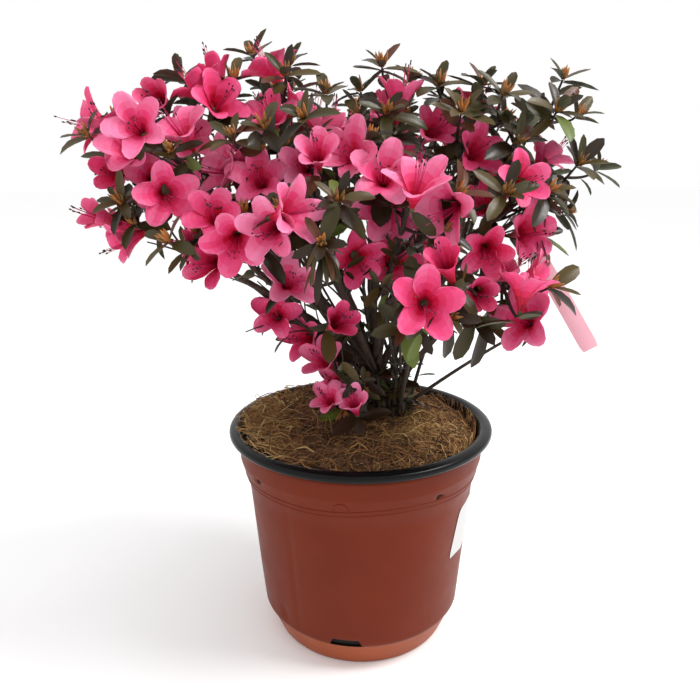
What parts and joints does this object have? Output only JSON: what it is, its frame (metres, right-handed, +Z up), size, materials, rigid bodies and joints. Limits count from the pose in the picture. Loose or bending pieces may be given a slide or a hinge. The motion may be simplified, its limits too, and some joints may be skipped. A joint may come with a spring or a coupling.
{
  "type": "potted azalea shrub",
  "caption": "Flowering evergreen shrub on several stems in a round plastic nursery pot of coir compost, with a blank hanging label.",
  "frame": {"origin": "centre of the pot's flat underside, on the surface the pot stands on", "axes": "+Z up the shrub, -Y towards the front that carries the most blossom, +X to the right seen from that front"},
  "size_m": [0.3626, 0.2555, 0.4143],
  "materials": {
    "pot_terracotta": "moulded terracotta-coloured plastic with a soft sheen",
    "rim_black": "moulded black plastic, smooth",
    "compost": "rough brown coir fibre",
    "bark": "thin dark brown bark, rough",
    "blossom_spray": "soft matt pink petals among leaves",
    "leafy_spray": "dark green leaves with a slight gloss",
    "tag_pink": "thin smooth pink plastic, blank"
  },
  "bodies": {
    "root": {"bough_back_centre": "bark", "bough_back_left": "bark", "bough_back_low_left": "bark", "bough_back_low_right": "bark", "bough_back_right": "bark", "bough_back_top_left": "bark", "bough_base": "bark", "bough_centre": "bark", "bough_centre_left": "bark", "bough_far_right": "bark", "bough_far_right_top": "bark", "bough_front_centre": "bark", "bough_front_left": "bark", "bough_front_right": "bark", "bough_inner": "bark", "bough_left_low_tip": "bark", "bough_left_tip": "bark", "bough_left_upper": "bark", "bough_low_left": "bark", "bough_low_right": "bark", "bough_low_right_front": "bark", "bough_right": "bark", "bough_top_centre": "bark", "bough_top_left": "bark", "bough_top_right": "bark", "bough_upper_left": "bark", "compost": "compost", "plant_tag": "tag_pink", "pot": "pot_terracotta", "pot_rim": "rim_black", "spray_back_centre": "blossom_spray", "spray_back_left": "blossom_spray", "spray_back_low_left": "blossom_spray", "spray_back_low_right": "blossom_spray", "spray_back_right": "blossom_spray", "spray_back_top_left": "blossom_spray", "spray_base": "blossom_spray", "spray_centre": "blossom_spray", "spray_centre_left": "blossom_spray", "spray_far_right": "leafy_spray", "spray_far_right_top": "leafy_spray", "spray_front_centre": "blossom_spray", "spray_front_left": "blossom_spray", "spray_front_right": "blossom_spray", "spray_inner": "blossom_spray", "spray_left_low_tip": "blossom_spray", "spray_left_tip": "blossom_spray", "spray_left_upper": "blossom_spray", "spray_low_left": "blossom_spray", "spray_low_right": "blossom_spray", "spray_low_right_front": "blossom_spray", "spray_right": "blossom_spray", "spray_top_centre": "leafy_spray", "spray_top_left": "leafy_spray", "spray_top_right": "leafy_spray", "spray_upper_left": "blossom_spray", "trunk": "bark"}
  },
  "joints": []
}
